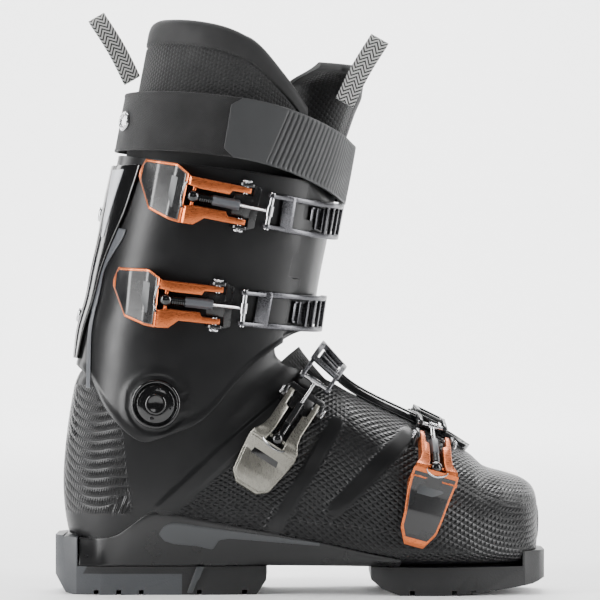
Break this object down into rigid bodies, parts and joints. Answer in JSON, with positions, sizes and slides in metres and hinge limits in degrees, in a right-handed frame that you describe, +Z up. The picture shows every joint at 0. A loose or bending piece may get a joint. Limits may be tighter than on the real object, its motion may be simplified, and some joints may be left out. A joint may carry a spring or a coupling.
{
  "type": "alpine ski boot",
  "caption": "Right-foot overlap ski boot: lower shell with sole pads, pivoting cuff, soft liner with tongue, power strap and micro-adjust lever buckles.",
  "frame": {"origin": "on the ground, under the middle of the boot's overall length and width", "axes": "+X to the toe, +Z up, -Y to the lateral side, where the buckle levers are"},
  "size_m": [0.306, 0.135, 0.3613],
  "materials": {
    "shell_plastic": "satin black moulded polyurethane",
    "gloss_plastic": "glossy black moulded plastic",
    "trim_plastic": "dark grey semi-gloss inlay",
    "sole_rubber": "matte black sole compound, dark grey heel",
    "liner_fabric": "embossed black liner textile",
    "strap_fabric": "woven black webbing",
    "strap_rubber": "dark grey ribbed rubber",
    "webbing": "grey and black herringbone webbing",
    "copper_metal": "satin copper anodised aluminium",
    "titanium_metal": "brushed titanium-grey aluminium",
    "gunmetal": "dark brushed aluminium",
    "steel": "brushed steel",
    "foam": "foam and moulded board"
  },
  "bodies": {
    "shell": {"lower_shell": "shell_plastic", "instep_gasket": "gloss_plastic", "heel_sole_pad": "sole_rubber", "toe_sole_pad": "sole_rubber", "heel_sole_screw_1": "steel", "heel_sole_screw_2": "steel", "toe_sole_screw_1": "steel", "toe_sole_screw_2": "steel", "sole_inlay_lateral": "trim_plastic", "sole_inlay_medial": "trim_plastic", "boot_board": "foam", "foot_liner": "liner_fabric", "footbed": "foam", "instep_tongue": "liner_fabric", "lateral_ankle_pivot": "gloss_plastic", "lateral_pivot_cap": "gloss_plastic", "medial_ankle_pivot": "gloss_plastic", "medial_pivot_cap": "gloss_plastic", "instep_buckle_base": "gloss_plastic", "instep_buckle_pin_a": "steel", "instep_buckle_pin_b": "steel", "instep_buckle_ladder": "gunmetal", "toe_buckle_base": "gloss_plastic", "toe_buckle_pin_a": "steel", "toe_buckle_pin_b": "steel", "toe_buckle_ladder": "gunmetal"},
    "cuff": {"cuff": "shell_plastic", "rear_spine": "gloss_plastic", "spine_screw_upper": "steel", "spine_screw_lower": "steel", "shaft_liner": "liner_fabric", "shin_tongue": "liner_fabric", "power_strap": "strap_fabric", "strap_overlay": "strap_rubber", "strap_rivet_lateral": "steel", "strap_rivet_medial": "steel", "rear_pull_loop": "webbing", "front_pull_loop": "webbing", "upper_cuff_buckle_base": "gloss_plastic", "upper_cuff_buckle_pin_a": "steel", "upper_cuff_buckle_pin_b": "steel", "upper_cuff_buckle_ladder": "gunmetal", "lower_cuff_buckle_base": "gloss_plastic", "lower_cuff_buckle_pin_a": "steel", "lower_cuff_buckle_pin_b": "steel", "lower_cuff_buckle_ladder": "gunmetal"},
    "upper_cuff_lever": {"upper_cuff_buckle_lever": "copper_metal"},
    "upper_cuff_rod": {"upper_cuff_buckle_rod": "steel"},
    "upper_cuff_bail": {"upper_cuff_buckle_bail": "gunmetal"},
    "lower_cuff_lever": {"lower_cuff_buckle_lever": "copper_metal"},
    "lower_cuff_rod": {"lower_cuff_buckle_rod": "steel"},
    "lower_cuff_bail": {"lower_cuff_buckle_bail": "gunmetal"},
    "instep_lever": {"instep_buckle_lever": "titanium_metal"},
    "instep_rod": {"instep_buckle_rod": "steel"},
    "instep_bail": {"instep_buckle_bail": "gunmetal"},
    "toe_lever": {"toe_buckle_lever": "copper_metal"},
    "toe_rod": {"toe_buckle_rod": "steel"},
    "toe_bail": {"toe_buckle_bail": "gunmetal"}
  },
  "joints": [
    {"name": "cuff_flex", "type": "hinge", "parent": "shell", "child": "cuff", "pos_m": [-0.0885, 0.004, 0.119], "axis": [0, 1, 0], "range_deg": [0, 3], "stiffness_Nm_per_rad": 150},
    {"name": "upper_cuff_lever_open", "type": "hinge", "parent": "cuff", "child": "upper_cuff_lever", "pos_m": [-0.03494, -0.06097, 0.24044], "axis": [0.2006, -0.0701, 0.9772], "range_deg": [0, 105]},
    {"name": "upper_cuff_rod_swing", "type": "hinge", "parent": "upper_cuff_lever", "child": "upper_cuff_rod", "pos_m": [-0.06521, -0.06408, 0.24644], "axis": [0.2006, -0.0701, 0.9772], "range_deg": [-105, 0]},
    {"name": "upper_cuff_bail_lift", "type": "hinge", "parent": "upper_cuff_rod", "child": "upper_cuff_bail", "pos_m": [-0.01852, -0.05769, 0.23731], "axis": [0.2006, -0.0701, 0.9772], "range_deg": [-63, 0]},
    {"name": "lower_cuff_lever_open", "type": "hinge", "parent": "cuff", "child": "lower_cuff_lever", "pos_m": [-0.05126, -0.05723, 0.1797], "axis": [0.1131, -0.0447, 0.9926], "range_deg": [0, 105]},
    {"name": "lower_cuff_rod_swing", "type": "hinge", "parent": "lower_cuff_lever", "child": "lower_cuff_rod", "pos_m": [-0.08206, -0.05827, 0.18316], "axis": [0.1131, -0.0447, 0.9926], "range_deg": [-105, 0]},
    {"name": "lower_cuff_bail_lift", "type": "hinge", "parent": "lower_cuff_rod", "child": "lower_cuff_bail", "pos_m": [-0.03446, -0.05507, 0.17788], "axis": [0.1131, -0.0447, 0.9926], "range_deg": [-63, 0]},
    {"name": "instep_lever_open", "type": "hinge", "parent": "shell", "child": "instep_lever", "pos_m": [0.00156, -0.03603, 0.12016], "axis": [-0.838, 0.0386, 0.5442], "range_deg": [0, 105]},
    {"name": "instep_rod_swing", "type": "hinge", "parent": "instep_lever", "child": "instep_rod", "pos_m": [-0.01377, -0.04753, 0.09737], "axis": [-0.838, 0.0386, 0.5442], "range_deg": [-105, 0]},
    {"name": "instep_bail_lift", "type": "hinge", "parent": "instep_rod", "child": "instep_bail", "pos_m": [0.00965, -0.02828, 0.13208], "axis": [-0.838, 0.0386, 0.5442], "range_deg": [-63, 0]},
    {"name": "toe_lever_open", "type": "hinge", "parent": "shell", "child": "toe_lever", "pos_m": [0.08309, -0.03297, 0.09645], "axis": [-0.9349, -0.2324, 0.2681], "range_deg": [0, 105]},
    {"name": "toe_rod_swing", "type": "hinge", "parent": "toe_lever", "child": "toe_rod", "pos_m": [0.08348, -0.05356, 0.07999], "axis": [-0.9349, -0.2324, 0.2681], "range_deg": [-105, 0]},
    {"name": "toe_bail_lift", "type": "hinge", "parent": "toe_rod", "child": "toe_bail", "pos_m": [0.08231, -0.0208, 0.10428], "axis": [-0.9349, -0.2324, 0.2681], "range_deg": [-63, 0]}
  ],
  "couplings": [
    {"joint": "upper_cuff_rod_swing", "follows": "upper_cuff_lever_open", "ratio": -1},
    {"joint": "upper_cuff_bail_lift", "follows": "upper_cuff_lever_open", "ratio": -0.6},
    {"joint": "lower_cuff_rod_swing", "follows": "lower_cuff_lever_open", "ratio": -1},
    {"joint": "lower_cuff_bail_lift", "follows": "lower_cuff_lever_open", "ratio": -0.6},
    {"joint": "instep_rod_swing", "follows": "instep_lever_open", "ratio": -1},
    {"joint": "instep_bail_lift", "follows": "instep_lever_open", "ratio": -0.6},
    {"joint": "toe_rod_swing", "follows": "toe_lever_open", "ratio": -1},
    {"joint": "toe_bail_lift", "follows": "toe_lever_open", "ratio": -0.6}
  ]
}
